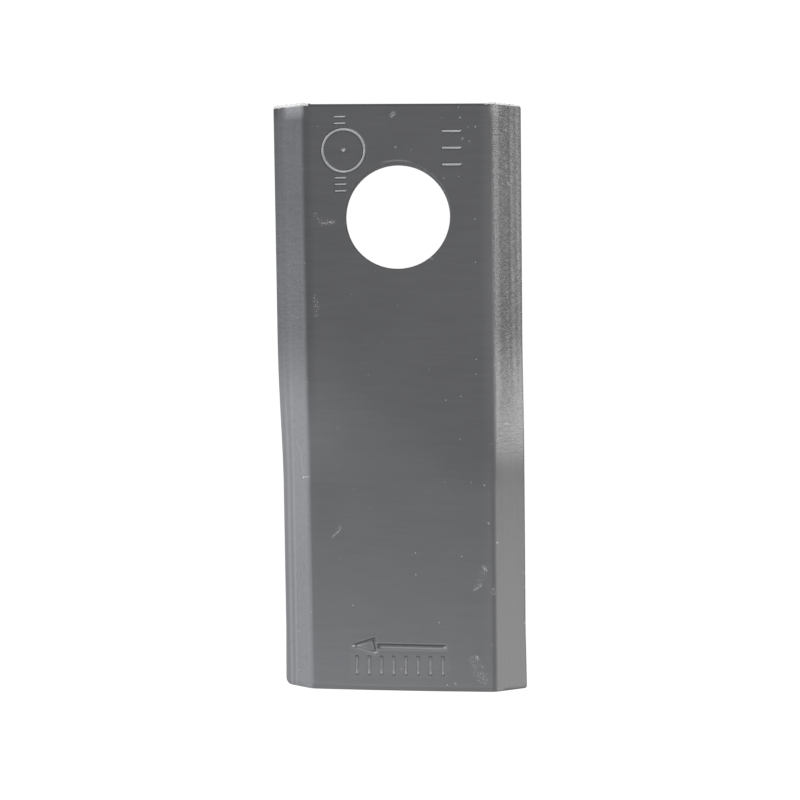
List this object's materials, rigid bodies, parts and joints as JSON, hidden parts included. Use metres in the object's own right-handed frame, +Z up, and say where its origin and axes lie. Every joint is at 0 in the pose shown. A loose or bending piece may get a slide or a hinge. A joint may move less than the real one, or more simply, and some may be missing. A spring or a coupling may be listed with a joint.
{
  "type": "rotary mower blade",
  "caption": "Twisted flat steel knife of a disc mower, bevelled along both long edges, with a round hole at one end that it hangs from.",
  "frame": {"origin": "on the surface that the knife lies on, under the middle of its bounding box", "axes": "+Y along the bar from the tip to the mounting end, +X across it, +Z up out of the bevelled face; the seat leans 3.5 degrees down towards +X and the tip 3.5 degrees up towards +X, as the knife comes to rest on two of its long edges"},
  "size_m": [0.0504, 0.1194, 0.0066],
  "materials": {
    "grey_paint": "dark grey satin paint on rolled steel, bare in small chips at the sheared end"
  },
  "bodies": {
    "root": {"blade": "grey_paint"}
  },
  "joints": []
}
